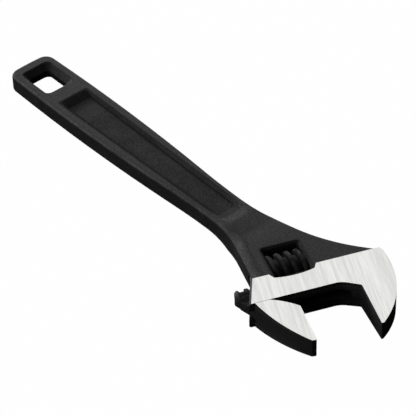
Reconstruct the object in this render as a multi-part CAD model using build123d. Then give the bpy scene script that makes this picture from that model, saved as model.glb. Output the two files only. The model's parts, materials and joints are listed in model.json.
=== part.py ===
from build123d import *
import os
from math import cos, pi, radians, sin, sqrt, tan

# Adjustable wrench of 150 mm nominal size, in five separate pieces: the forged handle body with
# its fixed jaw, the movable jaw with its round rack, the adjusting knurl, the pin that the knurl
# turns on, and the small spring that takes up the knurl's play. Millimetres, +Z up.
#
# X runs along the handle towards the jaws, and Y points to the fixed jaw's side. The head has a
# frame of its own: U runs along the jaw's seat towards the fixed jaw, and W runs from the jaw
# tips towards the handle. Its zero is the corner of the seat and the fixed jaw's face.

# Handle
HANDLE_REACH = 138.1        # hanging end to the seat corner, along X
HANDLE_THICKNESS = 5.9
END_WIDTH = 15.15           # width across the hanging end
END_CROWN = 0.4             # bulge of the end's edge
END_CORNER = 3.4            # corner radius of the hanging end
BELLY_REACH = 112.0         # the handle is widest here
BELLY_WIDTH = 16.1
TAPER_REACH = 63.0          # the side arc ends here and eases into the neck
TAPER_WIDTH = 13.1
NECK_WIDTH = 12.1
EDGE_ROUND = 1.1            # rounding of the forged edges

# Web recess in both faces of the handle
RECESS_DEPTH = 1.0
RECESS_TAIL = 113.0         # floor's end by the hanging hole
RECESS_HEAD = 46.5          # floor's end by the head
RECESS_TAIL_WIDTH = 9.0
RECESS_HEAD_WIDTH = 7.0
RECESS_CORNER = 1.2
RECESS_WALL_SLOPE = 0.45    # run of the side walls for each unit of depth
RECESS_TAIL_SLOPE = 3.1     # run of the ramp by the hanging hole
RECESS_HEAD_SLOPE = 4.1     # run of the ramp by the head

# Hanging hole: an opening pierced through a thin web, with a pocket over it in each face
HOLE_RIM = 4.75             # end of the handle to the opening
HOLE_LENGTH = 10.0
HOLE_WIDTH = 7.4
HOLE_CORNER = 1.1
HOLE_WEB = 1.8              # thickness of the web
HOLE_SPREAD = 1.65          # run of the pocket's leaning walls
HOLE_MOUTH_CORNER = 2.0     # corner radius of the pocket's mouth
HOLE_ROUND = 0.4            # rounding of its edge

# Head, with its outline points in X and Y or in U and W
JAW_ANGLE = 22.5            # degrees between the jaw faces and the handle
AXIS_OFFSET = 6.36          # handle's middle line to the seat corner, along Y
HEAD_THICKNESS = 9.7        # forged part, round the knurl's window
RAMP_TAIL = 48.0            # thickness starts to rise here
RAMP_HEAD = 26.0            # and is full here
FLARE_REACH = 38.5          # upper side leaves the neck here
SHOULDER_REACH = 4.1        # corner behind the fixed jaw
SHOULDER_HEIGHT = 18.85
SHOULDER_ROUND = 3.0
BACK_U = 9.0                # a point half way along the fixed jaw's round back
BACK_W = -5.7
SIDE_U = 26.5               # plain left side of the head
SIDE_W = 12.2               # where the left side turns out towards the seat
SIDE_ROUND = 3.0
NECK_FLARE = 46.0           # radius between the neck and the left side
SEAT_LENGTH = 31.3
THROAT_RUN = 5.0            # flat between the seat and the fixed jaw, along the seat
THROAT_LEAN = 30.0          # degrees from the seat, so that it lies on a hexagon nut
THROAT_SEAT_ROUND = 6.0     # rounding between the flat and the seat
THROAT_FACE_ROUND = 0.8     # and between the flat and the fixed jaw
CROWN_WIDTH = 4.8           # rounded-off strip of the forged faces along the left side
CROWN_RIM = 2.9             # height of the side's edge there, from mid thickness
CROWN_BULGE = 0.5
CROWN_EDGE = 0.3            # rounding of that edge, across and down
CROWN_EDGE_DROP = 1.0
CROWN_FADE = 30.0           # radius on which the strip runs out towards the neck
CROWN_FADE_TURN = 35.0      # degrees

# Ground faces, a wedge that thins towards the tips
SEAT_THICKNESS = 8.8
TIP_THICKNESS = 6.1
JAW_DEPTH = 17.4            # seat to the jaw tips
GROUND_EDGE = 8.55          # the ground faces end here, along W
FORGED_OVERRUN = 3.0        # forged edges are rounded this far under the ground faces
GROUND_SIDE_ROUND = 0.8     # rounding of their left edges
FIXED_TIP = 0.6             # width of the fixed jaw's tip
TIP_ROUND = 0.25

# Movable jaw
OPENING = 18.4              # between the jaw faces, as drawn
JAW_BASE = 11.2             # jaw face to the jaw's back corner
JAW_BACK_BULGE = 1.04
JAW_TIP = 1.3
JAW_TIP_SET_BACK = 0.15
JAW_RELIEF_LENGTH = 7.1     # rounded root that clears the throat
JAW_RELIEF_DEPTH = 4.8
JAW_RELIEF_BULGE = 0.4
SEAT_CLEARANCE = 0.1

# Rack, bore and slot
RACK_RADIUS = 2.5
RACK_CLEARANCE = 0.15
RACK_LIP = 4.45             # wall between the bore and the seat
RACK_OVERHANG = 3.35        # rack's left end past the jaw's back corner
RACK_CHAMFER = 0.9          # of that end
TOOTH_TIP = 1.52            # tooth tips above the rack's middle line
TOOTH_COUNT = 8
NECK_THICKNESS = 2.8        # web between the rack and the jaw
NECK_INSET = 0.8            # rack's left end to the web
NECK_SET_BACK = 2.0         # jaw face to the web's right end
SLOT_CLEARANCE = 0.15
BORE_RUNOUT = 0.5           # bore left beyond the rack when the jaws are closed

# Knurl and its window
KNURL_RADIUS = 5.6
KNURL_LENGTH = 10.15
KNURL_END_PLAY = 0.15
KNURL_START = 20.95         # left wall of the window, along U
THREAD_PITCH = 2.8
THREAD_DEPTH = 1.4
THREAD_ROOT_WIDTH = 1.75
THREAD_CREST_WIDTH = 1.05
THREAD_CREST_FLAT = 0.45
THREAD_CROWN = 0.3          # height of the crest's two bevels
THREAD_OVERLAP = 0.3        # thread's foot inside the core
MESH_CLEARANCE = 0.18
THREAD_PHASE = 1.35         # first full crest over the rack, from the knurl's left end
WINDOW_GAP = 0.3            # knurl to the window's far wall
WINDOW_CORNER = 0.5
WINDOW_BEVEL = 0.6          # bevel of its rim
LIP_WIDTH = 0.45            # forged lip along the window's near edge, at its two ends
LIP_BULGE = 0.7             # and how much wider it is half way
LIP_MARGIN = 0.6            # the lip past the window's ends
LIP_SPREAD = 1.0            # and the lean of its two ends

# Pin and spring
PIN_RADIUS = 1.5
PIN_FIT = 0.02
PIN_RECESS = 0.4
PIN_SEAT = 3.6              # blind end in the wall right of the window
PIN_CHAMFER = 0.25
PIN_SLOT_WIDTH = 0.6
PIN_SLOT_DEPTH = 0.6
KNURL_BORE_CLEARANCE = 0.06
SPRING_WIRE = 0.5
SPRING_WIRE_SIDES = 6       # the wire is drawn with flats
SPRING_MEAN_RADIUS = 2.08
SPRING_TURNS = 3
SPRING_POCKET = 4.4         # depth of the counterbore in the knurl
SPRING_POCKET_RADIUS = 2.6
SPRING_END_GAP = 0.06

BEYOND = 40.0               # cutters run this far past the object

# Places worked out from the sizes above
ANGLE = radians(JAW_ANGLE)
NECK_HALF = NECK_WIDTH / 2
HOLE_MIDDLE = -HANDLE_REACH + HOLE_RIM + HOLE_LENGTH / 2
HEAD = Plane(origin=(0, AXIS_OFFSET, 0), x_dir=(sin(ANGLE), cos(ANGLE), 0), z_dir=(0, 0, 1))
U_DIR = HEAD.x_dir
W_DIR = HEAD.y_dir
RACK_W = RACK_LIP + RACK_RADIUS + RACK_CLEARANCE
RACK_LEFT = -OPENING - JAW_BASE - RACK_OVERHANG
THREAD_ROOT_RADIUS = KNURL_RADIUS - THREAD_DEPTH
KNURL_W = RACK_W + TOOTH_TIP + MESH_CLEARANCE + THREAD_ROOT_RADIUS
KNURL_LEFT = -KNURL_START + KNURL_END_PLAY
KNURL_RIGHT = KNURL_LEFT + KNURL_LENGTH
WINDOW_RIGHT = KNURL_RIGHT + KNURL_END_PLAY
WINDOW_NEAR = KNURL_W - KNURL_RADIUS
WINDOW_FAR = KNURL_W + KNURL_RADIUS + WINDOW_GAP
CREST_OVER_RACK = KNURL_LEFT + THREAD_PHASE
RACK_RIGHT = CREST_OVER_RACK + THREAD_PITCH * 2.5


def at(u, w, z=0.0):
    """The point of the head's own frame, in X, Y and Z."""
    return HEAD.from_local_coords(Vector(u, w, z))


def ground_half(w):
    """Half the wedge's thickness between the two ground faces, at W."""
    slope = (SEAT_THICKNESS - TIP_THICKNESS) / 2 / JAW_DEPTH
    return SEAT_THICKNESS / 2 + slope * w


def across(u, w=0.0, z=0.0):
    """A plane square to the seat, whose normal is U and whose X points from the knurl to the rack."""
    return Plane(origin=at(u, w, z), x_dir=-W_DIR, z_dir=U_DIR)


def head_prism(points, bottom, top):
    """A straight-sided solid over an outline given in U and W."""
    face = make_face(Polyline(*points, close=True))
    return HEAD * Pos(0, 0, bottom) * extrude(face, top - bottom)


def round_corner(face, corner, radius):
    """The face with its corner nearest to the given point rounded."""
    return fillet(face.vertices().sort_by_distance(corner)[0], radius)


def flare_run():
    """Length of each tangent of the arc between the neck and the head's left side."""
    return NECK_FLARE * tan(ANGLE / 2)


def neck_flare_w():
    """W where the head's left side ends and that arc starts."""
    corner_x = (cos(ANGLE) * (NECK_HALF + AXIS_OFFSET) - SIDE_U) / sin(ANGLE)
    corner = HEAD.to_local_coords(Vector(corner_x, -NECK_HALF))
    return corner.Y - flare_run()


def body_outline():
    """The handle body seen from above, from the hanging end round by the fixed jaw and back."""
    end_high = Vector(-HANDLE_REACH, END_WIDTH / 2)
    end_low = Vector(-HANDLE_REACH, -END_WIDTH / 2)
    high_side = ThreePointArc(
        end_high, (-BELLY_REACH, BELLY_WIDTH / 2), (-TAPER_REACH, TAPER_WIDTH / 2)
    )
    low_side = ThreePointArc(
        (-TAPER_REACH, -TAPER_WIDTH / 2), (-BELLY_REACH, -BELLY_WIDTH / 2), end_low
    )
    flare_start = Vector(-FLARE_REACH, NECK_HALF)
    shoulder = Vector(-SHOULDER_REACH, SHOULDER_HEIGHT)
    tip_outer = at(FIXED_TIP, -JAW_DEPTH)
    tip_inner = at(0, -JAW_DEPTH)
    throat_face = at(0, -THROAT_RUN * tan(radians(THROAT_LEAN)))
    throat_seat = at(-THROAT_RUN, 0)
    seat_end = at(-SEAT_LENGTH, 0)
    side_turn = at(-SIDE_U, SIDE_W)
    flare_high = at(-SIDE_U, neck_flare_w())
    flare_low = flare_high + W_DIR * flare_run() - Vector(flare_run(), 0)
    outline = [
        ThreePointArc(end_low, (-HANDLE_REACH - END_CROWN, 0), end_high),
        high_side,
        Spline(high_side @ 1, flare_start, tangents=[high_side % 1, (1, 0)]),
        TangentArc(flare_start, shoulder, tangent=(1, 0)),
        ThreePointArc(shoulder, at(BACK_U, BACK_W), tip_outer),
        Line(tip_outer, tip_inner),
        Line(tip_inner, throat_face),
        Line(throat_face, throat_seat),
        Line(throat_seat, seat_end),
        Line(seat_end, side_turn),
        Line(side_turn, flare_high),
        TangentArc(flare_low, flare_high, tangent=(1, 0)),
        Spline(flare_low, low_side @ 0, tangents=[(-1, 0), low_side % 0]),
        low_side,
    ]
    face = make_face(outline)
    face = round_corner(face, end_high, END_CORNER)
    face = round_corner(face, end_low, END_CORNER)
    face = round_corner(face, shoulder, SHOULDER_ROUND)
    face = round_corner(face, tip_outer, TIP_ROUND)
    face = round_corner(face, throat_face, THROAT_FACE_ROUND)
    face = round_corner(face, throat_seat, THROAT_SEAT_ROUND)
    return round_corner(face, side_turn, SIDE_ROUND)


def side_profile():
    """The forged thickness seen from the side: handle, ramp and head, on both faces."""
    low = HANDLE_THICKNESS / 2
    high = HEAD_THICKNESS / 2
    foot = Vector(-RAMP_TAIL, low)
    top = Vector(-RAMP_HEAD, high)
    lower_arc = TangentArc(foot, (foot + top) / 2, tangent=(1, 0))
    upper_arc = TangentArc(lower_arc @ 1, top, tangent=lower_arc % 1)
    upper = [
        Line((-HANDLE_REACH - BEYOND, low), foot),
        lower_arc,
        upper_arc,
        Line(top, (BEYOND, high)),
    ]
    lower = [mirror(edge, about=Plane.XZ) for edge in upper]
    ends = [Line(lower[0] @ 0, upper[0] @ 0), Line(lower[-1] @ 1, upper[-1] @ 1)]
    return Plane.XZ * make_face(upper + lower + ends)


def ground_wedge(near, far):
    """The space between the two ground faces, over a range of W."""
    section = Polyline(
        (near, ground_half(near)),
        (far, ground_half(far)),
        (far, -ground_half(far)),
        (near, -ground_half(near)),
        close=True,
    )
    plane = Plane(origin=at(0, 0), x_dir=W_DIR, z_dir=U_DIR)
    return extrude(plane * make_face(section), BEYOND * 2, both=True)


def recess_cutter():
    """The recess in the upper face, whose floor and walls spread upwards."""
    floor_z = HANDLE_THICKNESS / 2 - RECESS_DEPTH
    rise = HANDLE_THICKNESS

    def outline(height):
        tail = -RECESS_TAIL - RECESS_TAIL_SLOPE * height
        head = -RECESS_HEAD + RECESS_HEAD_SLOPE * height
        spread = RECESS_WALL_SLOPE * height
        tail_half = RECESS_TAIL_WIDTH / 2 + spread
        head_half = RECESS_HEAD_WIDTH / 2 + spread
        corners = [(tail, -tail_half), (head, -head_half), (head, head_half), (tail, tail_half)]
        face = make_face(Polyline(*corners, close=True))
        return Pos(0, 0, floor_z + height) * fillet(face.vertices(), RECESS_CORNER + spread)

    return loft([outline(0), outline(rise)])


def hanging_hole_cutter():
    """The pierced opening, and over it in each face a pocket whose walls lean outwards."""
    floor_z = HOLE_WEB / 2
    depth = HANDLE_THICKNESS / 2 - floor_z

    def outline(share):
        spread = HOLE_SPREAD * share
        corner = HOLE_CORNER + (HOLE_MOUTH_CORNER - HOLE_CORNER) * share
        face = RectangleRounded(HOLE_LENGTH + 2 * spread, HOLE_WIDTH + 2 * spread, corner)
        return Pos(HOLE_MIDDLE, 0, floor_z + depth * share) * face

    pocket = loft([outline(0), outline(2)])
    opening = extrude(outline(0), HANDLE_THICKNESS, both=True)
    return opening + pocket + mirror(pocket, about=Plane.XY)


def window_outline():
    """The knurl's window seen from above."""
    length = WINDOW_RIGHT + KNURL_START
    width = WINDOW_FAR - WINDOW_NEAR
    middle = ((WINDOW_RIGHT - KNURL_START) / 2, (WINDOW_FAR + WINDOW_NEAR) / 2)
    return HEAD * Pos(*middle) * RectangleRounded(length, width, WINDOW_CORNER)


def behind(w):
    """Everything from W on, towards the handle."""
    far = BEYOND * 5
    return head_prism([(-far, w), (BEYOND, w), (BEYOND, far), (-far, far)], -BEYOND, BEYOND)


def lip_cutter():
    """What is taken off the ground face along the window's near edge, down to the forged face."""
    near = WINDOW_NEAR - LIP_WIDTH
    left = -KNURL_START - LIP_MARGIN
    right = WINDOW_RIGHT + LIP_MARGIN
    start = Vector(left, near)
    end = Vector(right, near)
    left_back = Vector(left - LIP_SPREAD, GROUND_EDGE)
    right_back = Vector(right + LIP_SPREAD, GROUND_EDGE)
    outline = [
        Line(left_back, start),
        ThreePointArc(start, (start + end) / 2 - Vector(0, LIP_BULGE), end),
        Line(end, right_back),
        Line(right_back, left_back),
    ]
    return HEAD * Pos(0, 0, HEAD_THICKNESS / 2) * extrude(make_face(outline), BEYOND)


def crown_cutter():
    """What is taken off the upper forged face along the head's left side, to round it down."""
    start = at(-SIDE_U, 0)
    straight = Line(start, at(-SIDE_U, neck_flare_w()))
    turn = radians(CROWN_FADE_TURN)
    along = W_DIR
    outward = -U_DIR
    drift = along * sin(turn) + outward * (1 - cos(turn))
    fade = TangentArc(straight @ 1, straight @ 1 + drift * CROWN_FADE, tangent=along)
    path = Wire([straight.edge(), fade.edge()])
    top = Vector(-CROWN_WIDTH, HEAD_THICKNESS / 2)
    rim = Vector(-CROWN_EDGE, CROWN_RIM)
    chord = rim - top
    square = Vector(-chord.Y, chord.X).normalized()
    crown = ThreePointArc(top, (top + rim) / 2 + square * CROWN_BULGE, rim)
    foot = Vector(CROWN_EDGE, CROWN_RIM - CROWN_EDGE_DROP)
    outline = [
        crown,
        TangentArc(rim, foot, tangent=crown % 1),
        Polyline(
            foot,
            (CROWN_WIDTH, foot.Y),
            (CROWN_WIDTH, HEAD_THICKNESS),
            (-CROWN_WIDTH, HEAD_THICKNESS),
            top,
        ),
    ]
    plane = Plane(origin=start, x_dir=outward, z_dir=along)
    return sweep(plane * make_face(outline), path=path)


def forged_back(prism):
    """The handle and the back of the head, up to the ground faces, with rounded edges."""
    cut = GROUND_EDGE - FORGED_OVERRUN
    solid = prism & extrude(side_profile(), BEYOND, both=True) & behind(cut)

    def is_outer(edge):
        upright = abs((edge % 0.5).Z) > 0.9
        on_cut = abs(HEAD.to_local_coords(edge @ 0.5).Y - cut) < 0.01
        seam = abs((edge % 0).Y) > 0.9999 and abs((edge % 1).Y) > 0.9999
        return not upright and not on_cut and not seam

    rounded = fillet(solid.edges().filter_by(is_outer), EDGE_ROUND)
    crown = crown_cutter()
    return rounded - crown - mirror(crown, about=Plane.XY) & behind(GROUND_EDGE)


def ground_head(prism):
    """The front of the head and the fixed jaw, between the two ground faces."""
    solid = prism & ground_wedge(-JAW_DEPTH * 2, GROUND_EDGE)

    def on_left_side(edge):
        middle = HEAD.to_local_coords(edge @ 0.5)
        flat = abs((edge % 0.5).Z) < 0.5
        inside = 0.01 < middle.Y < GROUND_EDGE - 0.01
        return flat and inside and middle.X < -SIDE_U

    return fillet(solid.edges().filter_by(on_left_side), GROUND_SIDE_ROUND)


def handle_body():
    """The forged body: handle, head and fixed jaw, with the bores and cuts of the mechanism."""
    prism = Pos(0, 0, -BEYOND) * extrude(body_outline(), BEYOND * 2)
    body = forged_back(prism) + ground_head(prism)

    recess = recess_cutter()
    body = body - recess - mirror(recess, about=Plane.XY)
    body = body - hanging_hole_cutter()

    def on_hole_rim(edge):
        middle = edge @ 0.5
        along = abs(middle.X - HOLE_MIDDLE) < HOLE_LENGTH / 2 + HOLE_SPREAD + 0.01
        wide = abs(middle.Y) < HOLE_WIDTH / 2 + HOLE_SPREAD + 0.01
        return along and wide and abs(abs(middle.Z) - HANDLE_THICKNESS / 2) < 0.01

    body = fillet(body.edges().filter_by(on_hole_rim), HOLE_ROUND)
    lip_cut = lip_cutter()
    body = body - lip_cut - mirror(lip_cut, about=Plane.XY)
    body = body - extrude(window_outline(), BEYOND, both=True)

    def on_window_rim(edge):
        local = HEAD.to_local_coords(edge @ 0.5)
        inside_u = -KNURL_START - 0.01 < local.X < WINDOW_RIGHT + 0.01
        inside_w = WINDOW_NEAR - 0.01 < local.Y < WINDOW_FAR + 0.01
        return inside_u and inside_w and abs(abs(local.Z) - HEAD_THICKNESS / 2) < 0.01

    body = chamfer(body.edges().filter_by(on_window_rim), WINDOW_BEVEL)

    bore_end = RACK_RIGHT + OPENING + BORE_RUNOUT
    bore_radius = RACK_RADIUS + RACK_CLEARANCE
    bore_length = bore_end + SEAT_LENGTH + BEYOND
    bore = across(bore_end - bore_length, RACK_W) * Cylinder(
        bore_radius, bore_length, align=(Align.CENTER, Align.CENTER, Align.MIN)
    )
    slot_half = NECK_THICKNESS / 2 + SLOT_CLEARANCE
    slot_end = -NECK_SET_BACK + SLOT_CLEARANCE * 2
    slot_left = -SEAT_LENGTH - BEYOND
    slot_plan = [(slot_left, -BEYOND), (slot_end, -BEYOND), (slot_end, RACK_W), (slot_left, RACK_W)]
    slot = head_prism(slot_plan, -slot_half, slot_half)
    pin_hole_length = WINDOW_RIGHT + PIN_SEAT + SIDE_U + BEYOND
    pin_hole = across(-SIDE_U - BEYOND, KNURL_W) * Cylinder(
        PIN_RADIUS + PIN_FIT, pin_hole_length, align=(Align.CENTER, Align.CENTER, Align.MIN)
    )
    return body - bore - slot - pin_hole


def jaw_outline():
    """The movable jaw below its seat, in U and W."""
    face_u = -OPENING
    tip = Vector(face_u, -JAW_DEPTH)
    tip_back = Vector(face_u - JAW_TIP, -JAW_DEPTH + JAW_TIP_SET_BACK)
    back = Vector(face_u - JAW_BASE, -SEAT_CLEARANCE)
    relief_start = Vector(face_u - JAW_RELIEF_LENGTH, -SEAT_CLEARANCE)
    relief_end = Vector(face_u, -JAW_RELIEF_DEPTH)

    def bulged(start, end, bulge):
        chord = end - start
        square = Vector(-chord.Y, chord.X).normalized()
        return ThreePointArc(start, (start + end) / 2 + square * bulge, end)

    outline = [
        Line(tip, relief_end),
        bulged(relief_end, relief_start, -JAW_RELIEF_BULGE),
        Line(relief_start, back),
        bulged(back, tip_back, -JAW_BACK_BULGE),
        Line(tip_back, tip),
    ]
    face = round_corner(make_face(outline), tip, TIP_ROUND)
    return HEAD * face


def rack_groove(u):
    """One groove of the rack, leaning with the thread and wider than it by the mesh clearance."""
    slope = (THREAD_ROOT_WIDTH - THREAD_CREST_WIDTH) / (THREAD_DEPTH - THREAD_CROWN)
    floor_radius = KNURL_RADIUS + MESH_CLEARANCE
    mouth_radius = THREAD_ROOT_RADIUS
    crest_half = THREAD_CREST_WIDTH / 2 + MESH_CLEARANCE
    mouth_half = THREAD_ROOT_WIDTH / 2 + MESH_CLEARANCE
    floor_half = crest_half - slope / 2 * (floor_radius - KNURL_RADIUS + THREAD_CROWN)
    section = Polyline(
        (-floor_half, -floor_radius),
        (floor_half, -floor_radius),
        (mouth_half, -mouth_radius),
        (-mouth_half, -mouth_radius),
        close=True,
    )
    lean = THREAD_PITCH / (2 * pi * (KNURL_RADIUS + THREAD_ROOT_RADIUS) / 2)
    along = (Vector(0, 0, 1) - U_DIR * lean).normalized()
    plane = Plane(origin=at(u, KNURL_W), x_dir=W_DIR.cross(along), z_dir=along)
    return extrude(plane * make_face(section), RACK_RADIUS * 2, both=True)


def movable_jaw():
    """The sliding jaw: jaw, web and toothed rack in one piece."""
    jaw = extrude(jaw_outline(), BEYOND, both=True) & ground_wedge(-JAW_DEPTH * 2, GROUND_EDGE)
    rack_length = RACK_RIGHT - RACK_LEFT
    bar = Cylinder(RACK_RADIUS, rack_length, align=(Align.CENTER, Align.CENTER, Align.MIN))
    bar = chamfer(bar.edges().sort_by(Axis.Z)[0], RACK_CHAMFER)
    rack = across(RACK_LEFT, RACK_W) * bar
    flat = head_prism(
        [
            (RACK_LEFT - 1, RACK_W + TOOTH_TIP),
            (RACK_RIGHT + 1, RACK_W + TOOTH_TIP),
            (RACK_RIGHT + 1, RACK_W + RACK_RADIUS * 2),
            (RACK_LEFT - 1, RACK_W + RACK_RADIUS * 2),
        ],
        -BEYOND,
        BEYOND,
    )
    web_right = -OPENING - NECK_SET_BACK
    web = head_prism(
        [
            (-OPENING - JAW_BASE, -SEAT_CLEARANCE),
            (RACK_LEFT + NECK_INSET, RACK_LIP),
            (RACK_LEFT + NECK_INSET, RACK_W),
            (web_right, RACK_W),
            (web_right, -JAW_RELIEF_DEPTH),
            (-OPENING - JAW_RELIEF_LENGTH, -JAW_RELIEF_DEPTH),
        ],
        -NECK_THICKNESS / 2,
        NECK_THICKNESS / 2,
    )
    piece = jaw + web + (rack - flat)
    for index in range(TOOTH_COUNT):
        piece = piece - rack_groove(RACK_RIGHT - THREAD_PITCH * (index + 0.5))
    return piece


def adjusting_knurl():
    """The knurl: a right-hand worm thread with a bevelled crest, on a core bored for the pin."""
    core = Cylinder(THREAD_ROOT_RADIUS, KNURL_LENGTH, align=(Align.CENTER, Align.CENTER, Align.MIN))
    turns_before = int(THREAD_PHASE / THREAD_PITCH) + 1
    turns = turns_before + int(KNURL_LENGTH / THREAD_PITCH) + 2
    start = THREAD_PHASE - turns_before * THREAD_PITCH
    path = Pos(0, 0, start) * Helix(THREAD_PITCH, turns * THREAD_PITCH, THREAD_ROOT_RADIUS)
    foot = THREAD_ROOT_RADIUS - THREAD_OVERLAP
    flank_slope = (THREAD_ROOT_WIDTH - THREAD_CREST_WIDTH) / 2 / (THREAD_DEPTH - THREAD_CROWN)
    foot_half = THREAD_ROOT_WIDTH / 2 + flank_slope * THREAD_OVERLAP
    shoulder = KNURL_RADIUS - THREAD_CROWN
    crest_half = THREAD_CREST_WIDTH / 2
    crest_flat = THREAD_CREST_FLAT / 2
    section = make_face(
        [
            Line((foot, -foot_half), (shoulder, -crest_half)),
            Line((shoulder, -crest_half), (KNURL_RADIUS, -crest_flat)),
            Line((KNURL_RADIUS, -crest_flat), (KNURL_RADIUS, crest_flat)),
            Line((KNURL_RADIUS, crest_flat), (shoulder, crest_half)),
            Line((shoulder, crest_half), (foot, foot_half)),
            Line((foot, foot_half), (foot, -foot_half)),
        ]
    )
    thread = sweep(Pos(0, 0, start) * (Plane.XZ * section), path=path, is_frenet=True)
    envelope = Cylinder(
        KNURL_RADIUS * 2, KNURL_LENGTH, align=(Align.CENTER, Align.CENTER, Align.MIN)
    )
    knurl = core + (thread & envelope)
    bore = Cylinder(PIN_RADIUS + KNURL_BORE_CLEARANCE, KNURL_LENGTH * 3)
    pocket = Pos(0, 0, KNURL_LENGTH - SPRING_POCKET) * Cylinder(
        SPRING_POCKET_RADIUS, KNURL_LENGTH, align=(Align.CENTER, Align.CENTER, Align.MIN)
    )
    return across(KNURL_LEFT, KNURL_W) * (knurl - bore - pocket)


def knurl_pin():
    """The pin that the knurl turns on, slotted at the end that shows in the head's side."""
    left = -SIDE_U + PIN_RECESS
    length = WINDOW_RIGHT + PIN_SEAT - PIN_FIT - left
    pin = Cylinder(PIN_RADIUS, length, align=(Align.CENTER, Align.CENTER, Align.MIN))
    pin = chamfer(pin.edges().filter_by(GeomType.CIRCLE), PIN_CHAMFER)
    slot = Box(PIN_SLOT_WIDTH, PIN_RADIUS * 4, PIN_SLOT_DEPTH * 2)
    return across(left, KNURL_W) * (pin - slot)


def spring_path(length):
    """The coil's middle line: each quarter turn is a pair of tangent arcs."""
    rise = length / (2 * pi * SPRING_TURNS)

    def point(turn):
        angle = 2 * pi * turn
        return Vector(
            SPRING_MEAN_RADIUS * cos(angle), SPRING_MEAN_RADIUS * sin(angle), rise * angle
        )

    def heading(turn):
        angle = 2 * pi * turn
        return Vector(
            -SPRING_MEAN_RADIUS * sin(angle), SPRING_MEAN_RADIUS * cos(angle), rise
        ).normalized()

    edges = []
    for quarter in range(SPRING_TURNS * 4):
        start, end = point(quarter / 4), point((quarter + 1) / 4)
        leave, arrive = heading(quarter / 4), heading((quarter + 1) / 4)
        chord = end - start
        bend = 2 * (1 - leave.dot(arrive))
        reach = chord.dot(leave + arrive)
        arm = (sqrt(reach**2 + bend * chord.dot(chord)) - reach) / bend
        middle = (start + leave * arm + end - arrive * arm) / 2
        first = Edge.make_tangent_arc(start, leave, middle)
        edges += [first, Edge.make_tangent_arc(middle, first % 1, end)]
    return Wire(edges)


def knurl_spring():
    """The coil spring in the knurl's counterbore, between its floor and the window's right wall."""
    room = SPRING_POCKET + KNURL_END_PLAY - 2 * SPRING_END_GAP
    path = spring_path(room - SPRING_WIRE)
    wire = Plane(path @ 0, z_dir=path % 0) * RegularPolygon(SPRING_WIRE / 2, SPRING_WIRE_SIDES)
    coil = sweep(wire, path=path)
    samples = [path @ (step / 400) for step in range(401)]
    one_turn = 400 // SPRING_TURNS
    gaps = [
        (samples[index] - samples[other]).length - SPRING_WIRE
        for index in range(401)
        for other in range(index + one_turn // 2, 401)
    ]
    print(f"spring: least gap to itself {min(gaps):.2f} mm")
    left = KNURL_RIGHT - SPRING_POCKET + SPRING_END_GAP + SPRING_WIRE / 2
    return across(left, KNURL_W) * coil


def main():
    pieces = {
        "handle_body": handle_body(),
        "movable_jaw": movable_jaw(),
        "adjusting_knurl": adjusting_knurl(),
        "knurl_pin": knurl_pin(),
        "knurl_spring": knurl_spring(),
    }
    box = pieces["handle_body"].bounding_box()
    for piece in pieces.values():
        box = box.add(piece.bounding_box())
    middle = box.center()
    to_origin = Vector(-middle.X, -middle.Y, -box.min.Z)
    os.makedirs("parts", exist_ok=True)
    for name, piece in pieces.items():
        placed = Pos(*to_origin) * piece
        export_step(placed, f"parts/{name}.step")
    for name, point in (
        ("seat corner", at(0, 0)),
        ("knurl's left end", at(KNURL_LEFT, KNURL_W)),
        ("rack's left end", at(RACK_LEFT, RACK_W)),
    ):
        placed = point + to_origin
        print(f"{name}: {placed.X:.4f} {placed.Y:.4f} {placed.Z:.4f}")
    print(f"size: {box.size.X:.2f} {box.size.Y:.2f} {box.size.Z:.2f}")


main()
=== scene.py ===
# %% [markdown]
# # An adjustable wrench: dressing a CAD frame
# The wrench comes from the CAD model as five rigid pieces: the forged body with its fixed jaw,
# the sliding jaw, the worm knurl, the knurl's pin and a small spring. Their shapes are already
# right, so this lesson is about what the eye reads next: a matt black phosphate skin, faces that
# a grinding wheel has left bright, and light that shows both of them.

import json
from math import pi, radians

import bpy
from mathutils import Matrix, Vector

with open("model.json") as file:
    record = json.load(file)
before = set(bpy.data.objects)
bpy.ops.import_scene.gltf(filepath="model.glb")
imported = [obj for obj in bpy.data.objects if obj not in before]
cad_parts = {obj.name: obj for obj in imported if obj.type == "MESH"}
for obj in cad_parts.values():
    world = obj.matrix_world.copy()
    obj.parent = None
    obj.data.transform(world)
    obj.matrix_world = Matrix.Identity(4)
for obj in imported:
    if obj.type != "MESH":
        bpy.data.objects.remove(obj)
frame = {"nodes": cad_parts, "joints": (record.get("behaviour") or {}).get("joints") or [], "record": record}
nodes = frame["nodes"]
bpy.context.view_layer.update()
print("pieces:", sorted(nodes))

# %% [markdown]
# ## The head's own frame
# The jaws don't follow the handle: they lean by 22.5 degrees. Everything on the head is easiest to
# describe along two directions of its own. U runs along the seat that the jaw slides on, towards
# the fixed jaw. W runs from the jaw tips towards the handle. The movable jaw's face is a mount of
# the record, so the directions can be read from there instead of being typed in again.

# %% Directions of the head
MM = 0.001
HEAD_LEAN = 22.5                # degrees
FACE_MOUNT_DEPTH = 11 * MM      # the mounts lie this far in front of the seat
mounts = {mount["name"]: mount for mount in frame["record"]["mounts"]}
U = Vector(mounts["movable_jaw_face"]["axis"])
UP = Vector((0, 0, 1))
W = UP.cross(U)
seat_corner = Vector(mounts["fixed_jaw_face"]["pos_m"]) + W * FACE_MOUNT_DEPTH
print("seat corner", [round(v, 5) for v in seat_corner])

# %% [markdown]
# ## Camera
# A long lens from well above: the wrench is small, and a long lens keeps its edges parallel, as in
# a catalogue picture. The camera's three axes are written as rows, because turning a camera by
# three angles is much harder to read than saying which way is right, up and back.

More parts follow.
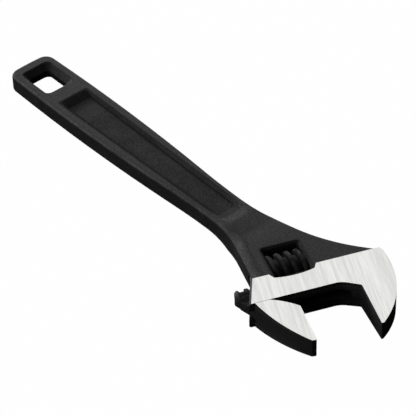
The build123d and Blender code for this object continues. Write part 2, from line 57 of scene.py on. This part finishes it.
# %% Camera
CAMERA_FROM_CORNER = Vector((307.2, -309.96, 411.9)) * MM
CAMERA_RIGHT = Vector((0.6581, 0.7527, -0.0231))
CAMERA_UP = Vector((-0.4851, 0.4471, 0.7516))
CAMERA_BACK = Vector((0.5760, -0.4833, 0.6592))
SENSOR_WIDTH = 36
FOCAL_LENGTH = 190.4
NEAREST_SEEN = 10 * MM

camera_data = bpy.data.cameras.new("camera")
camera_data.sensor_width = SENSOR_WIDTH
camera_data.lens = FOCAL_LENGTH
camera_data.clip_start = NEAREST_SEEN
camera = bpy.data.objects.new("camera", camera_data)
turn = Matrix((CAMERA_RIGHT, CAMERA_UP, CAMERA_BACK)).transposed()
camera.matrix_world = Matrix.Translation(seat_corner + CAMERA_FROM_CORNER) @ turn.to_4x4()
bpy.context.scene.collection.objects.link(camera)
bpy.context.scene.camera = camera
bpy.context.scene.view_settings.view_transform = "Standard"
print("camera at", [round(v, 3) for v in camera.matrix_world.translation])

# %% [markdown]
# ## Node helpers
# A material is a small network. A few helpers keep its code as short as the drawing of it would be.
# The first adds a node and fills in its sockets. The others each stand for one common node.


# %% Node helpers
def fill(tree, node, values):
    """Fills a node's inputs. A value that is a socket is linked, anything else is typed in."""
    for key, value in values.items():
        if isinstance(value, bpy.types.NodeSocket):
            tree.links.new(value, node.inputs[key])
        else:
            node.inputs[key].default_value = value
    return node


def add_node(tree, kind, values=None, **settings):
    """Adds a node with its settings and inputs."""
    node = tree.nodes.new(kind)
    for name, value in settings.items():
        setattr(node, name, value)
    return fill(tree, node, values or {})


def sum_of(tree, operation, first, second=0.0, third=0.0):
    """One step of arithmetic, as a socket."""
    values = {0: first, 1: second, 2: third}
    return add_node(tree, "ShaderNodeMath", values, operation=operation).outputs[0]


def product(tree, first, *others):
    """Values multiplied together."""
    for other in others:
        first = sum_of(tree, "MULTIPLY", first, other)
    return first


def remap(tree, value, low, high, to_low=0.0, to_high=1.0):
    """Carries a value from one range to another, with soft ends."""
    values = {"Value": value, 1: low, 2: high, 3: to_low, 4: to_high}
    node = add_node(tree, "ShaderNodeMapRange", values, interpolation_type="SMOOTHSTEP")
    return node.outputs[0]


# %% Helpers for colours and places
def mix_colour(tree, factor, first, second):
    """Two colours mixed by a factor."""
    values = {"Factor": factor, 6: first, 7: second}
    return add_node(tree, "ShaderNodeMix", values, data_type="RGBA").outputs[2]


def mix_value(tree, factor, first, second):
    """Two values mixed by a factor."""
    return add_node(tree, "ShaderNodeMix", {"Factor": factor, 2: first, 3: second}).outputs[0]


def vector_sum(tree, operation, first, second, output=0):
    """One step of arithmetic on vectors, as a socket."""
    node = add_node(tree, "ShaderNodeVectorMath", {0: first, 1: second}, operation=operation)
    return node.outputs[output]


def along(tree, place, direction):
    """How far a place lies along a direction."""
    return vector_sum(tree, "DOT_PRODUCT", place, direction, "Value")


def split(tree, vector):
    """The three parts of a vector."""
    return add_node(tree, "ShaderNodeSeparateXYZ", {0: vector}).outputs


def grey(value):
    """A neutral colour."""
    return (value, value, value, 1)


# %% [markdown]
# ## Stage and light
# The floor is a plain white sheet. Seen directly or in metal it shows as white, but part of it is
# ordinary paint, so the wrench still drops a soft shadow.


# %% Floor
FLOOR_SIZE = 8
FLOOR_BELOW = 0.02 * MM         # keeps the sheet clear of the wrench's underside
FLOOR_PAINT = 0.12
FLOOR_GLOW_SHARE = 0.992


def seen_directly(tree):
    """1 for rays that look at a thing, straight or in metal or glass, and 0 for rays of light."""
    path = add_node(tree, "ShaderNodeLightPath")
    seen = path.outputs["Is Camera Ray"]
    for ray in ("Is Glossy Ray", "Is Transmission Ray"):
        seen = sum_of(tree, "MAXIMUM", seen, path.outputs[ray])
    return seen


bpy.ops.object.select_all(action="DESELECT")
bpy.ops.mesh.primitive_plane_add(size=FLOOR_SIZE, location=(0, 0, -FLOOR_BELOW))
floor = bpy.context.object
floor.name = "floor"

white_sheet = bpy.data.materials.new("white_sheet")
white_sheet.use_nodes = True
tree = white_sheet.node_tree
tree.nodes.clear()
paint = add_node(tree, "ShaderNodeBsdfDiffuse", {"Color": grey(FLOOR_PAINT)})
glow = add_node(tree, "ShaderNodeEmission", {"Color": grey(1), "Strength": 1})
share = product(tree, seen_directly(tree), FLOOR_GLOW_SHARE)
mixed = add_node(tree, "ShaderNodeMixShader", {0: share, 1: paint.outputs[0], 2: glow.outputs[0]})
add_node(tree, "ShaderNodeOutputMaterial", {"Surface": mixed.outputs[0]})
floor.data.materials.append(white_sheet)
print("floor", FLOOR_SIZE, "m")

# %% [markdown]
# Three softboxes do the lighting. A big one stands behind the wrench, where the flat faces mirror
# it to the camera. A small one stands low and close beyond the handle's end, so its light falls
# off from the tail towards the head and picks out the rims. A third fills the sides from the
# front. Only the big one may show in metal: a small bright lamp mirrored in flat steel burns out
# to white. The world gives almost no light, which leaves the throat between the jaws dark. Metal
# sees it as a pale room, so the ground faces read as steel from every side.


# %% Softboxes
def softbox(name, towards, distance, width, height, radiance, mirrored):
    """A rectangular lamp that faces the wrench. Its power follows from how bright it looks."""
    data = bpy.data.lights.new(name, "AREA")
    data.shape = "RECTANGLE"
    data.size = width
    data.size_y = height
    data.energy = radiance * pi * width * height
    lamp = bpy.data.objects.new(name, data)
    direction = Vector(towards).normalized()
    lamp.location = direction * distance
    lamp.rotation_euler = direction.to_track_quat("Z", "Y").to_euler()
    lamp.visible_glossy = mirrored
    bpy.context.scene.collection.objects.link(lamp)
    print(name, "at", distance, "m")


softbox(
    "softbox_behind",
    towards=(-0.576, 0.483, 0.75),
    distance=1.3,
    width=1.85,
    height=1.85,
    radiance=0.56,
    mirrored=True,
)
softbox(
    "softbox_left",
    towards=(-0.91, 0.22, 0.34),
    distance=0.6,
    width=0.4,
    height=0.25,
    radiance=19.0,
    mirrored=False,
)
softbox(
    "softbox_front",
    towards=(-0.25, -0.9, 0.35),
    distance=1.5,
    width=1.0,
    height=0.6,
    radiance=3.1,
    mirrored=False,
)

# %% World
WORLD_GREY = 0.02
WORLD_IN_METAL = 0.52
WORLD_SEEN = 1.0

world = bpy.data.worlds.new("studio")
world.use_nodes = True
tree = world.node_tree
background = tree.nodes["Background"]
background.inputs["Color"].default_value = grey(1)
path = add_node(tree, "ShaderNodeLightPath")
strength = mix_value(tree, path.outputs["Is Glossy Ray"], WORLD_GREY, WORLD_IN_METAL)
strength = mix_value(tree, path.outputs["Is Camera Ray"], strength, WORLD_SEEN)
tree.links.new(strength, background.inputs["Strength"])
bpy.context.scene.world = world
print("world", WORLD_GREY, "and", WORLD_IN_METAL, "in metal")

# %% [markdown]
# ## Which faces are ground
# After forging and blackening, the two flat sides of the head are run past a grinding wheel. They
# form a thin wedge, thicker at the seat and thinner at the jaw tips. A point belongs to a ground
# face if it lies on one of the wedge's two planes, so the mask measures its distance from them.
# That works for the body and for the sliding jaw alike, and follows the CAD exactly. It is the
# first of several masks, and each is a node group that a material can take in.

# %% Groups
FLOAT = "NodeSocketFloat"
VECTOR = "NodeSocketVector"


def new_group(name, inputs, outputs):
    """An empty shader group. An input is a vector, or a number with a default of its own."""
    group = bpy.data.node_groups.new(name, "ShaderNodeTree")
    for socket, default in inputs.items():
        kind = VECTOR if default is None else FLOAT
        made = group.interface.new_socket(socket, in_out="INPUT", socket_type=kind)
        if default is not None:
            made.default_value = default
    for socket in outputs:
        group.interface.new_socket(socket, in_out="OUTPUT", socket_type=FLOAT)
    entry = group.nodes.new("NodeGroupInput")
    leave = group.nodes.new("NodeGroupOutput")
    return group, entry.outputs, leave.inputs


def use_group(tree, group, values):
    """A group placed in a material."""
    return add_node(tree, "ShaderNodeGroup", node_tree=group, values=values).outputs


# %% Ground faces mask
WEDGE_HALF_AT_SEAT = 4.4 * MM
WEDGE_THINS = 1.35 * MM         # from the seat to the jaw tips
WEDGE_RUN = 17.4 * MM
WEDGE_SLOPE = WEDGE_THINS / WEDGE_RUN
WEDGE_TOUCH = 0.03 * MM

ground_group, entry, leave = new_group("ground_faces", {"Place": None}, ("Mask",))
from_corner = vector_sum(ground_group, "SUBTRACT", entry["Place"], seat_corner)
height = sum_of(ground_group, "ABSOLUTE", along(ground_group, from_corner, UP))
from_seat = along(ground_group, from_corner, W)
plane = sum_of(ground_group, "MULTIPLY_ADD", from_seat, WEDGE_SLOPE, WEDGE_HALF_AT_SEAT)
mask = sum_of(ground_group, "COMPARE", height, plane, WEDGE_TOUCH)
ground_group.links.new(mask, leave["Mask"])
print("wedge slope", round(WEDGE_SLOPE, 4))

# %% [markdown]
# ## Brushed grain
# The wheel leaves fine straight scratches. They run along the jaw faces, so the pattern is noise
# that is squeezed across the scratch and drawn out along it. Two sizes are laid over each other:
# hairlines, and broader bands where the wheel pressed a little harder.

# %% Brushed grain group
PER_MM = 1000.0
SCRATCH_LEAN = 6                # degrees that the scratches stray from the jaw faces
GRAIN_ANGLE = radians(90 - HEAD_LEAN - SCRATCH_LEAN)
GRAIN_DETAIL = {"Hairlines": 4.0, "Bands": 2.0}

brushed_group, entry, leave = new_group(
    "brushed_grain",
    {"Place": None, "Hairlines per mm": 5.0, "Bands per mm": 0.9, "Stretch": 30.0},
    ("Hairlines", "Bands"),
)
turning = {"Vector": entry["Place"], "Axis": UP, "Angle": -GRAIN_ANGLE}
turned = split(brushed_group, add_node(brushed_group, "ShaderNodeVectorRotate", turning).outputs[0])
for name, detail in GRAIN_DETAIL.items():
    per_metre = product(brushed_group, entry[name + " per mm"], PER_MM)
    slow = sum_of(brushed_group, "DIVIDE", per_metre, entry["Stretch"])
    across = product(brushed_group, turned[0], per_metre)
    drawn = product(brushed_group, turned[1], slow)
    place = add_node(brushed_group, "ShaderNodeCombineXYZ", {0: across, 1: drawn}).outputs[0]
    values = {"Vector": place, "Scale": 1, "Detail": detail}
    noise = add_node(brushed_group, "ShaderNodeTexNoise", values)
    brushed_group.links.new(noise.outputs[0], leave[name])
print("brushed grain group")

# %% [markdown]
# ## Forged skin
# A drop forging is shot-blasted and dipped before it is blackened, so up close its skin is a field
# of soft pits about a third of a millimetre across, with cloudy patches where the coating took
# better or worse. Rounded edges rub in the hand and turn slightly greyer, and the same mask paints
# the highlight that a rounded edge catches. An edge shows up as a normal that points neither up nor
# sideways, so the rub and highlight mask comes from the normal's height. The proud faces, which are
# the handle's rims and the black part of the head, lie at known heights above mid thickness, and
# are painted a little paler than the floors and walls below them, as painted light.

# %% Forged skin group: pits, clouds and rub
SKIN_DETAIL = {"Pits": 3.0, "Clouds": 4.0}
SIDE_TO_EDGE = (0.25, 0.55)     # how upright a normal is, from a side wall to an edge
TOP_TO_EDGE = (0.95, 0.82)      # and from a top face to an edge

forged_group, entry, leave = new_group(
    "forged_skin",
    {"Place": None, "Normal": None, "Pits per mm": 2.6, "Clouds per mm": 0.16},
    ("Pits", "Clouds", "Rub and highlight", "Proud"),
)
for name, detail in SKIN_DETAIL.items():
    scale = product(forged_group, entry[name + " per mm"], PER_MM)
    values = {"Vector": entry["Place"], "Scale": scale, "Detail": detail}
    noise = add_node(forged_group, "ShaderNodeTexNoise", values)
    forged_group.links.new(noise.outputs[0], leave[name])
# The rub mask marks rounded edges, which get wear and also a painted highlight.
upright = sum_of(forged_group, "ABSOLUTE", split(forged_group, entry["Normal"])[2])
leaves_side = remap(forged_group, upright, *SIDE_TO_EDGE)
leaves_top = remap(forged_group, upright, *TOP_TO_EDGE)
forged_group.links.new(product(forged_group, leaves_side, leaves_top), leave["Rub and highlight"])
print("pits, clouds and rub")

# %% Forged skin group: proud faces
HANDLE_FACE = 2.95 * MM         # heights above mid thickness
HEAD_FACE = 4.85 * MM
FACE_FADE = 0.6 * MM
FACE_FULL = FACE_FADE / 4

height = split(forged_group, entry["Place"])[2]
from_middle = sum_of(forged_group, "SUBTRACT", height, seat_corner.z)
from_middle = sum_of(forged_group, "ABSOLUTE", from_middle)
off_handle = sum_of(forged_group, "SUBTRACT", from_middle, HANDLE_FACE)
off_handle = sum_of(forged_group, "ABSOLUTE", off_handle)
on_handle = remap(forged_group, off_handle, FACE_FADE, FACE_FULL)
on_head = remap(forged_group, from_middle, HEAD_FACE - FACE_FADE, HEAD_FACE - FACE_FULL)
proud = sum_of(forged_group, "MAXIMUM", on_handle, on_head)
forged_group.links.new(proud, leave["Proud"])
print("proud faces")

# %% [markdown]
# ## The recess in the handle
# Both faces of the handle carry a long shallow recess. Along the foot of its walls and on the ramp
# by the hanging hole the black is darkened as painted shade, the shade that falls along the edge
# and on a ramp turned from the light. The CAD's edges are sharp there, so this line also stands in
# for the shade of a rounded edge. The recess is a long trapezium, and one number says how far a
# point lies inside its upper edge: the least of its distances from the two long sides and the tail
# end. The dark line is a band around zero. On the ramp the distance counts slower, because a ramp
# runs much longer than a wall. The gentle ramp by the head is no darker than the floor, so the band
# fades out before it.

# %% Distance inside the recess
MIDDLE_LINE = 6.36 * MM         # handle's middle line, beside the seat corner
RECESS_TAIL_END = 116.1 * MM    # ends of the upper edge, measured from the seat corner
RECESS_HEAD_END = 42.4 * MM
RECESS_TAIL_HALF = 5.0 * MM     # half widths of the upper edge at the two ends
RECESS_HEAD_HALF = 3.9 * MM
RECESS_ROUND = 0.8 * MM         # rounds the band's corners
RAMP_SLOWING = 0.2

# This mask paints shade along the recess's edge and on its tail ramp.
recess_group, entry, leave = new_group(
    "recess_painted_shade", {"Place": None, "Normal": None}, ("Mask",)
)
from_corner = split(recess_group, vector_sum(recess_group, "SUBTRACT", entry["Place"], seat_corner))
from_tail = sum_of(recess_group, "ADD", from_corner[0], RECESS_TAIL_END)
from_head = sum_of(recess_group, "SUBTRACT", -RECESS_HEAD_END, from_corner[0])
taper = (RECESS_TAIL_HALF - RECESS_HEAD_HALF) / (RECESS_TAIL_END - RECESS_HEAD_END)
half_width = sum_of(recess_group, "MULTIPLY_ADD", from_head, taper, RECESS_HEAD_HALF)
off_middle = sum_of(recess_group, "ADD", from_corner[1], MIDDLE_LINE)
off_middle = sum_of(recess_group, "ABSOLUTE", off_middle)
inside = sum_of(recess_group, "SUBTRACT", half_width, off_middle)
slowed = product(recess_group, from_tail, RAMP_SLOWING)
slowed = sum_of(recess_group, "MINIMUM", from_tail, slowed)
inside = sum_of(recess_group, "SMOOTH_MIN", inside, slowed, RECESS_ROUND)
print("recess taper", round(taper, 4))

# %% Band along the recess
RIM_FADE = 0.75 * MM
BAND_START = -0.1 * MM
BAND_END = 0.6 * MM
BAND_FADE = 0.9 * MM
BAND_STOPS = 2.05 * MM          # fades out towards the head between these distances
BAND_FULL = 8.2 * MM
WALL_TO_FLOOR = (0.4, 0.8)      # how upright a normal is, from a steep wall to the floor
WALL_SHARE = 0.4                # a steep wall stays paler than the foot below it

band_opens = remap(recess_group, inside, BAND_START - RIM_FADE, BAND_START)
band_closes = remap(recess_group, inside, BAND_END + BAND_FADE, BAND_END)
before_head = remap(recess_group, from_head, BAND_STOPS, BAND_FULL)
upright = sum_of(recess_group, "ABSOLUTE", split(recess_group, entry["Normal"])[2])
wall_share_of_shade = remap(recess_group, upright, *WALL_TO_FLOOR, WALL_SHARE, 1.0)
band = product(recess_group, band_opens, band_closes, before_head, wall_share_of_shade)
recess_group.links.new(band, leave["Mask"])
print("band of", round((BAND_END - BAND_START) / MM, 2), "mm")

# %% [markdown]
# ## The hole's pockets and the window's rim
# Two more places get painted shade, a deeper black than the open faces: the leaning walls around
# the hanging hole, and the rim of the window that the knurl sits in. Both are rounded boxes seen
# from above, so both use the same small sum: how far a point lies inside a box.


# %% Pocket and window masks
def inside_box(tree, first, second, first_half, second_half, rounding):
    """How far a point lies inside a rounded box, from its two distances off the middle."""
    first_gap = sum_of(tree, "SUBTRACT", first_half, sum_of(tree, "ABSOLUTE", first))
    second_gap = sum_of(tree, "SUBTRACT", second_half, sum_of(tree, "ABSOLUTE", second))
    return sum_of(tree, "SMOOTH_MIN", first_gap, second_gap, rounding)


POCKET_BOX = (6.65 * MM, 5.35 * MM, 2.0 * MM)      # half length, half width, rounding
POCKET_FADE = 0.25 * MM
WINDOW_BOX = (5.2 * MM, 5.75 * MM, 0.8 * MM)
WINDOW_FADE = 1.5 * MM

hole_middle = Vector(mounts["hanging_hole"]["pos_m"])
knurl_corners = [Vector(corner) for corner in nodes["adjusting_knurl"].bound_box]
window_middle = sum(knurl_corners, Vector()) / len(knurl_corners)
# These masks paint shade on the hole's pocket walls and the window's rim.
shade_group, entry, leave = new_group("pocket_and_window_shade", {"Place": None}, ("Pocket", "Window"))
from_hole = split(shade_group, vector_sum(shade_group, "SUBTRACT", entry["Place"], hole_middle))
inside = inside_box(shade_group, from_hole[0], from_hole[1], *POCKET_BOX)
pocket = remap(shade_group, inside, -POCKET_FADE, POCKET_FADE)
shade_group.links.new(pocket, leave["Pocket"])
from_knurl = vector_sum(shade_group, "SUBTRACT", entry["Place"], window_middle)
off_u = along(shade_group, from_knurl, U)
off_w = along(shade_group, from_knurl, W)
inside = inside_box(shade_group, off_u, off_w, *WINDOW_BOX)
rim = remap(shade_group, inside, -WINDOW_FADE, 0.0)
shade_group.links.new(rim, leave["Window"])
print("hole middle", [round(v, 4) for v in hole_middle])

# %% [markdown]
# ## Black forging with ground faces
# Body and jaw share one material. The mask decides at each point whether it is bright steel or
# black phosphate: colour, metallic and roughness each go through a mix. Phosphate is a rough
# crystal layer that scatters light, so its dielectric shine is off. The black is built in layers:
# cloudy patches, proud faces painted paler as painted light, rubbed edges with wear and a painted
# highlight, painted shade in the deep places, and last a speckle from the pits. The handle's edges
# get the most rub and painted highlight, and the window's rim gets none.


# %% Material helpers
def surface_material(name, specular_level):
    """A material with a Principled shader, whose dielectric shine is set once for all."""
    material = bpy.data.materials.new(name)
    material.use_nodes = True
    shader = material.node_tree.nodes["Principled BSDF"]
    shader.inputs["Specular IOR Level"].default_value = specular_level
    return material, material.node_tree, shader.inputs


def dress(name, material):
    """Gives a CAD piece its material."""
    slots = nodes[name].data.materials
    slots.clear()
    slots.append(material)
    print(name, "wears", material.name)


# %% Black forging: masks
forging, tree, shader = surface_material("black_forging", 0.0)
coordinates = add_node(tree, "ShaderNodeTexCoord").outputs
place = coordinates["Object"]
here = {"Place": place, "Normal": coordinates["Normal"]}
ground = use_group(tree, ground_group, {"Place": place})["Mask"]
grain = use_group(tree, brushed_group, {"Place": place})
skin = use_group(tree, forged_group, here)
recess = use_group(tree, recess_group, here)["Mask"]
shade_places = use_group(tree, shade_group, {"Place": place})
print("masks in", forging.name)

# %% Black forging: how much of each layer
NOISE_PATCH = (0.35, 0.65)      # where noise turns from one patch to the next
# How strong the painted shade in the recess band is.
RECESS_SHADE_SHARE = 0.85
POCKET_SHARE = 0.6
WINDOW_SHARE = 0.7
WINDOW_REACH = (9.0 * MM, 11.7 * MM)
RUB_HIGHLIGHT_LEAST = 0.55                # share of the rub that the clouds leave
HANDLE_STARTS = 36 * MM         # from the seat corner back along X
HANDLE_BLEND = 14 * MM
handle_start = seat_corner.x - HANDLE_STARTS

clouds = remap(tree, skin["Clouds"], *NOISE_PATCH)
pocket = product(tree, shade_places["Pocket"], POCKET_SHARE)
rim = product(tree, shade_places["Window"], WINDOW_SHARE, skin["Proud"])
deepest_shade = sum_of(tree, "MAXIMUM", product(tree, recess, RECESS_SHADE_SHARE), pocket)
deepest_shade = sum_of(tree, "MAXIMUM", deepest_shade, rim)
from_window = vector_sum(tree, "DISTANCE", place, window_middle, "Value")
away_from_window = remap(tree, from_window, *WINDOW_REACH)
# Rubbed edges carry wear and a painted highlight, strongest on the handle and none near the window.
rub_and_highlight = product(tree, skin["Rub and highlight"], away_from_window, mix_value(tree, clouds, RUB_HIGHLIGHT_LEAST, 1.0))
toward_handle = remap(tree, split(tree, place)[0], handle_start, handle_start - HANDLE_BLEND)
print("handle starts at", round(handle_start, 4))

# %% Black forging: colour
PHOSPHATE = 0.031
PHOSPHATE_CLOUD = 0.038
# Proud faces are painted paler, as painted light.
PHOSPHATE_PROUD_LIT = 0.052
# The painted shade colour of the recess band, hole pockets and window rim.
PHOSPHATE_SHADE = 0.014
# Greys of the rubbed edges: wear and a painted highlight, paler on the handle.
RUB_HIGHLIGHT_GREY = 0.085
RUB_HIGHLIGHT_HANDLE_GREY = 0.115
PIT_RANGE = (0.3, 0.7)
PIT_SHADE = 0.30                # how much darker or paler a pit may be
STEEL = 0.82
STEEL_DARK = 0.63
STEEL_BLUE = 0.98               # ground steel is a trace warmer than grey

black = mix_colour(tree, clouds, grey(PHOSPHATE), grey(PHOSPHATE_CLOUD))
# Painted light: proud faces paler than the floors and walls below them.
black = mix_colour(tree, skin["Proud"], black, grey(PHOSPHATE_PROUD_LIT))
# Painted highlight and wear along the rounded edges.
black = mix_colour(tree, rub_and_highlight, black, mix_colour(tree, toward_handle, grey(RUB_HIGHLIGHT_GREY), grey(RUB_HIGHLIGHT_HANDLE_GREY)))
# Painted shade in the recess band, hole pockets and window rim.
black = mix_colour(tree, deepest_shade, black, grey(PHOSPHATE_SHADE))
speckle = remap(tree, skin["Pits"], *PIT_RANGE, 1 - PIT_SHADE, 1 + PIT_SHADE)
values = {0: black, "Scale": speckle}
black = add_node(tree, "ShaderNodeVectorMath", values, operation="SCALE").outputs[0]

streaks = mix_value(tree, 0.5, grain["Hairlines"], grain["Bands"])
dark_steel = (STEEL_DARK, STEEL_DARK, STEEL_DARK * STEEL_BLUE, 1)
pale_steel = (STEEL, STEEL, STEEL * STEEL_BLUE, 1)
bright = mix_colour(tree, remap(tree, streaks, *NOISE_PATCH), dark_steel, pale_steel)
tree.links.new(mix_colour(tree, ground, black, bright), shader["Base Color"])
tree.links.new(ground, shader["Metallic"])
print("black", PHOSPHATE, "steel", STEEL)

# %% Black forging: roughness and relief
NOISE_RANGE = (0.3, 0.7)
BLACK_ROUGHNESS = (0.62, 0.52)
BRIGHT_ROUGHNESS = (0.24, 0.34)
PIT_RELIEF = 0.25
SCRATCH_RELIEF = 0.06
RELIEF_HEIGHT = 0.2 * MM
RELIEF_STRENGTH = 0.5

black_roughness = remap(tree, skin["Clouds"], *NOISE_RANGE, *BLACK_ROUGHNESS)
bright_roughness = remap(tree, grain["Hairlines"], *NOISE_RANGE, *BRIGHT_ROUGHNESS)
roughness = mix_value(tree, ground, black_roughness, bright_roughness)
tree.links.new(roughness, shader["Roughness"])
relief = mix_value(tree, ground, skin["Pits"], grain["Hairlines"])
relief = product(tree, relief, mix_value(tree, ground, PIT_RELIEF, SCRATCH_RELIEF))
values = {"Height": relief, "Distance": RELIEF_HEIGHT, "Strength": RELIEF_STRENGTH}
tree.links.new(add_node(tree, "ShaderNodeBump", values).outputs[0], shader["Normal"])
dress("handle_body", forging)
dress("movable_jaw", forging)

# %% [markdown]
# ## Knurl
# The worm is turned from bar and blackened with oxide, which is thinner and smoother than
# phosphate. Thumbs polish the tops of its ridges. How far a point stands from the knurl's axis says
# whether it is a ridge or a groove, so the polish is a mask on that distance.

# %% Knurl material
OXIDE = 0.017
OXIDE_WORN = 0.04
OXIDE_SHINE = 0.03
OXIDE_ROUGHNESS = 0.5
WORN_ROUGHNESS = 0.36
WORN_PATCH = (0.35, 0.6)
RIDGE = (4.6 * MM, 5.5 * MM)    # radii between which the polish sets in
KNURL_PITS = 3.5                # for each mm
KNURL_CLOUDS = 0.7
KNURL_RELIEF = 0.05 * MM
KNURL_RELIEF_STRENGTH = 0.35

knurl_joint = {joint["name"]: joint for joint in frame["joints"]}["knurl_spin"]
axis_point = Vector(knurl_joint["pos_m"])
oxide, tree, shader = surface_material("knurl_oxide", OXIDE_SHINE)
coordinates = add_node(tree, "ShaderNodeTexCoord").outputs
place = coordinates["Object"]
from_axis = vector_sum(tree, "SUBTRACT", place, axis_point)
beside = vector_sum(tree, "CROSS_PRODUCT", from_axis, U)
radius = add_node(tree, "ShaderNodeVectorMath", {0: beside}, operation="LENGTH").outputs["Value"]
here = {"Place": place, "Normal": coordinates["Normal"]}
grain_sizes = {"Pits per mm": KNURL_PITS, "Clouds per mm": KNURL_CLOUDS}
skin = use_group(tree, forged_group, here | grain_sizes)
worn = product(tree, remap(tree, radius, *RIDGE), remap(tree, skin["Clouds"], *WORN_PATCH))
tree.links.new(mix_colour(tree, worn, grey(OXIDE), grey(OXIDE_WORN)), shader["Base Color"])
tree.links.new(mix_value(tree, worn, OXIDE_ROUGHNESS, WORN_ROUGHNESS), shader["Roughness"])
values = {"Height": skin["Pits"], "Distance": KNURL_RELIEF, "Strength": KNURL_RELIEF_STRENGTH}
tree.links.new(add_node(tree, "ShaderNodeBump", values).outputs[0], shader["Normal"])
dress("adjusting_knurl", oxide)

# %% [markdown]
# ## Pin and spring
# Both are bare steel. The pin is turned, so fine rings run round it. The spring is drawn wire,
# greyer and a little oily. Neither shows much, but the pin's slotted end glints in the head's side.

# %% Pin material
METAL_SHINE = 0.5
RINGS_PER_METRE = 9000.0
RING_GREYS = (0.42, 0.62)
RING_ROUGHNESS = (0.28, 0.42)
METAL_DETAIL = 3

turned_steel, tree, shader = surface_material("turned_steel", METAL_SHINE)
shader["Metallic"].default_value = 1
place = add_node(tree, "ShaderNodeTexCoord").outputs["Object"]
turns = product(tree, along(tree, place, U), RINGS_PER_METRE)
values = {"W": turns, "Scale": 1, "Detail": METAL_DETAIL}
rings = add_node(tree, "ShaderNodeTexNoise", values, noise_dimensions="1D").outputs[0]
dark_ring, pale_ring = RING_GREYS
tree.links.new(mix_colour(tree, rings, grey(dark_ring), grey(pale_ring)), shader["Base Color"])
tree.links.new(mix_value(tree, rings, *RING_ROUGHNESS), shader["Roughness"])
dress("knurl_pin", turned_steel)

# %% Spring material
WIRE_GREYS = (0.34, 0.5)
WIRE_ROUGHNESS = (0.3, 0.45)
WIRE_STAINS_PER_METRE = 900

drawn_wire, tree, shader = surface_material("drawn_wire", METAL_SHINE)
shader["Metallic"].default_value = 1
place = add_node(tree, "ShaderNodeTexCoord").outputs["Object"]
values = {"Vector": place, "Scale": WIRE_STAINS_PER_METRE, "Detail": METAL_DETAIL}
stains = add_node(tree, "ShaderNodeTexNoise", values).outputs[0]
dark_wire, pale_wire = WIRE_GREYS
tree.links.new(mix_colour(tree, stains, grey(dark_wire), grey(pale_wire)), shader["Base Color"])
tree.links.new(mix_value(tree, stains, *WIRE_ROUGHNESS), shader["Roughness"])
dress("knurl_spring", drawn_wire)

# %% [markdown]
# ## Closing
# The dressed wrench has to keep the CAD's size; the last step brings the scene up to date.

# %% Finish
bpy.context.view_layer.update()
